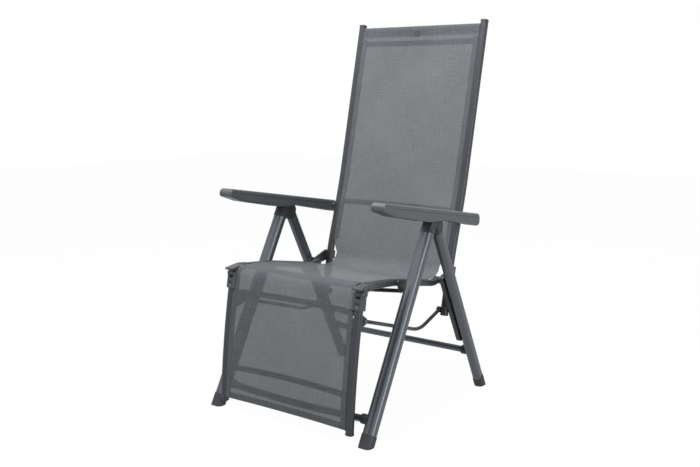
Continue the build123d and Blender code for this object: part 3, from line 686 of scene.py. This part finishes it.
foot_corner = tuple(2 * middle - (low + high) / 2
                    for low, middle, high in zip(foot_low, foot_middle, foot_high))
foot_points = curve_points(foot_low, foot_corner, foot_high, steps=64) + [foot_high]
foot_halves = [foot_half - ramp(z, knee_cut_low, knee_cut_high) * (foot_half - knee_half)
               for y, z in foot_points]
foot_rows = cloth_rows(foot_points, foot_halves, [cloth_sag] * len(foot_points))
foot_sheet, foot_length, foot_area = lay_cloth("foot_sheet", foot_rows)
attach(foot_sheet, "footrest")
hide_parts("foot_cloth")
foot_hems = side_hems("foot_side_hems", [row for row in foot_rows if row[1] < foot_hem_top], "footrest")
foot_bottom_rows = [(y, z, sag, left + bottom_hem_inset, right - bottom_hem_inset)
                    for y, z, sag, left, right in foot_rows if z < bottom_hem_top]
foot_bottom_hem = lay_cloth("foot_bottom_hem", foot_bottom_rows, behind=2 * (cloth_thickness + hem_gap))[0]
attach(foot_bottom_hem, "footrest")


# Knee part: over the knees, where the cloth bends as the footrest rises. It is laid at rest and tied to no
# body.

knee_corner = (-0.3286, 0.4563)
seat_front = (-0.3062, 0.4543)

knee_points = curve_points(foot_high, knee_corner, seat_front, steps=48) + [seat_front]
knee_rows = cloth_rows(knee_points, [knee_half] * len(knee_points), [cloth_sag] * len(knee_points))
knee_sheet, knee_length = lay_cloth("knee_sheet", knee_rows, run_start=foot_length)[:2]
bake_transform(knee_sheet)


# Seat part: two straight runs with a bend between them.

bend_start = (-0.1829, 0.4434)
seat_bend = (-0.1548, 0.4409)
bend_end = (-0.1271, 0.4358)
seat_rear = (0.0766, 0.3984)
knee_cut_end = -0.2680
knee_cut_start = -0.2500
hip_cut_start = 0.0440

seat_points = (run_points(seat_front, bend_start, steps=18)
               + curve_points(bend_start, seat_bend, bend_end, steps=12)
               + run_points(bend_end, seat_rear, steps=30) + [seat_rear])


def seat_width(y):
    """Half the width of the seat cloth at a depth y: narrow at the knees and at the hips."""
    front = ramp(y, knee_cut_start, knee_cut_end)
    rear = ramp(y, hip_cut_start, seat_rear[0])
    return seat_half - front * (seat_half - knee_half) - rear * (seat_half - hip_half)


seat_rows = cloth_rows(seat_points, [seat_width(y) for y, z in seat_points], [cloth_sag] * len(seat_points))
run_length = foot_length + knee_length
seat_sheet, seat_length, seat_area = lay_cloth("seat_sheet", seat_rows, run_start=run_length)
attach(seat_sheet, "frame")
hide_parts("seat_cloth")
seat_hems = side_hems("seat_side_hems", [row for row in seat_rows if knee_cut_start < row[0] < hip_cut_start],
                      "frame")


# Hip part: from the seat up to the back, where the cloth bends as the back leans. It is laid at rest and tied
# to no body.

hip_corner = (0.1467, 0.3855)
back_foot = (0.1591, 0.4266)

hip_points = curve_points(seat_rear, hip_corner, back_foot, steps=48) + [back_foot]
hip_rows = cloth_rows(hip_points, [hip_half] * len(hip_points), [cloth_sag] * len(hip_points))
run_length += seat_length
hip_sheet, hip_length = lay_cloth("hip_sheet", hip_rows, run_start=run_length)[:2]
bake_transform(hip_sheet)


# Back part: up the back with a soft bend at the waist, then round the top tube and down behind
# the cloth to the edge of its hem. Its sag fades out towards the top tube.

waist_start = (0.2176, 0.6215)
waist_corner = (0.2323, 0.6703)
waist_end = (0.2436, 0.7200)
bar_front = (0.3543, 1.1976)
bar_centre = (0.3647, 1.1952)
hem_foot = (0.3510, 1.1712)
hip_cut_top = 0.4700
back_hem_top = 1.168
sag_end = 1.1900
full_sag = 1.0700
sag_curve = 0.7
wrap_radius = 0.0108
wrap_inset = 0.0012
wrap_turns = range(167, -61, -12)

back_points = (run_points(back_foot, waist_start, steps=26)
               + curve_points(waist_start, waist_corner, waist_end, steps=12)
               + run_points(waist_end, bar_front, steps=60))


def back_width(z):
    """Half the width of the back cloth at a height: cut in at the clamps."""
    return foot_half - ramp(z, hip_cut_top, back_foot[1]) * (foot_half - hip_half)


back_sags = [cloth_sag * ramp(z, sag_end, full_sag) ** sag_curve for y, z in back_points]
back_rows = cloth_rows(back_points, [back_width(z) for y, z in back_points], back_sags)
wrap_points = [(bar_centre[0] + wrap_radius * cos(radians(turn)),
                bar_centre[1] + wrap_radius * sin(radians(turn))) for turn in wrap_turns]
wrap_points += run_points(wrap_points[-1], hem_foot, steps=8)[1:] + [hem_foot]
wrap_rows = [(y, z, 0, wrap_inset - foot_half, foot_half - wrap_inset) for y, z in wrap_points]
run_length += hip_length
back_sheet, back_length, back_area = lay_cloth("back_sheet", back_rows + wrap_rows, run_start=run_length)
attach(back_sheet, "back")
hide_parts("back_cloth")
back_hems = side_hems("back_side_hems", [row for row in back_rows if hip_cut_top < row[1] < back_hem_top],
                      "back")


# Label: a small square patch of darker cloth, sewn on near the top of the back and left bare.

label_low = 1.1700
label_height = 0.0190
label_left = -0.0165
label_width = 0.019
label_rise = 0.0009
label_steps = 5

label_cloth = coat("label_cloth", (0.030, 0.033, 0.037), roughness=0.7, grain=1900, depth=0.0002, spread=0.25)
patch_rows = []
for step in range(label_steps + 1):
    height = label_low + label_height * step / label_steps
    above = next(index for index, row in enumerate(back_rows) if row[1] > height)
    low, high = back_rows[above - 1], back_rows[above]
    part = (height - low[1]) / (high[1] - low[1])
    y, z, hang = (a + (b - a) * part for a, b in zip(low[:3], high[:3]))
    patch_rows.append((y, z, hang, label_left, label_left + label_width))
label_patch, patch_length = lay_cloth("label_patch", patch_rows, behind=-label_rise, columns=6)[:2]
label_patch.material_slots[0].material = label_cloth
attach(label_patch, "back")


# Edge beads: the plastic cord sewn into the cloth's edge. It is drawn black where the cloth enters
# the tube, so it is partly the real cord and partly the painted shade of the slot there.

bead_radius = 0.0018
bead_behind = 0.0008
bead_smoothing = radians(50)
tube_bead_x = 0.2341
rail_bead_x = 0.2352
back_bead_foot = 0.452
foot_bead_top = 0.376
seat_bead_front = -0.252
seat_bead_rear = 0.050


def edge_beads(name, rows, x, body):
    """A bead on each side, drawn along the edge of the cloth."""
    bpy.ops.object.select_all(action="DESELECT")
    beads = []
    for side in (-1, 1):
        first = rows[0]
        pitch = atan2(rows[1][1] - first[1], rows[1][0] - first[0])
        place = (side * x, first[0] + bead_behind * sin(pitch), first[1] - bead_behind * cos(pitch))
        bpy.ops.mesh.primitive_circle_add(vertices=10, radius=bead_radius, fill_type="NGON", location=place,
                                          rotation=(pitch - radians(90), 0, 0))
        beads.append(bpy.context.object)
        bpy.ops.object.transform_apply(location=True, rotation=True, scale=True)
        bpy.ops.object.mode_set(mode="EDIT")
        bpy.ops.mesh.select_all(action="SELECT")
        for start, end in zip(rows, rows[1:]):
            move = (0, end[0] - start[0], end[1] - start[1])
            bpy.ops.mesh.extrude_region_move(TRANSFORM_OT_translate={"value": move})
        bpy.ops.mesh.select_all(action="SELECT")
        bpy.ops.mesh.normals_make_consistent(inside=False)
        bpy.ops.object.mode_set(mode="OBJECT")
        bpy.ops.object.shade_smooth_by_angle(angle=bead_smoothing)
    both_beads = join_pieces(beads, name)
    both_beads.data.materials.append(black_moulding)
    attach(both_beads, body)
    both_beads.select_set(False)


back_bead_rows = [row for row in back_rows if back_bead_foot < row[1]][::3]
foot_bead_rows = [row for row in foot_rows if row[1] < foot_bead_top][::3]
seat_bead_rows = [row for row in seat_rows if seat_bead_front < row[0] < seat_bead_rear][::2]
edge_beads("back_edge_beads", back_bead_rows, tube_bead_x, "back")
edge_beads("foot_edge_beads", foot_bead_rows, tube_bead_x, "footrest")
edge_beads("seat_edge_beads", seat_bead_rows, rail_bead_x, "frame")
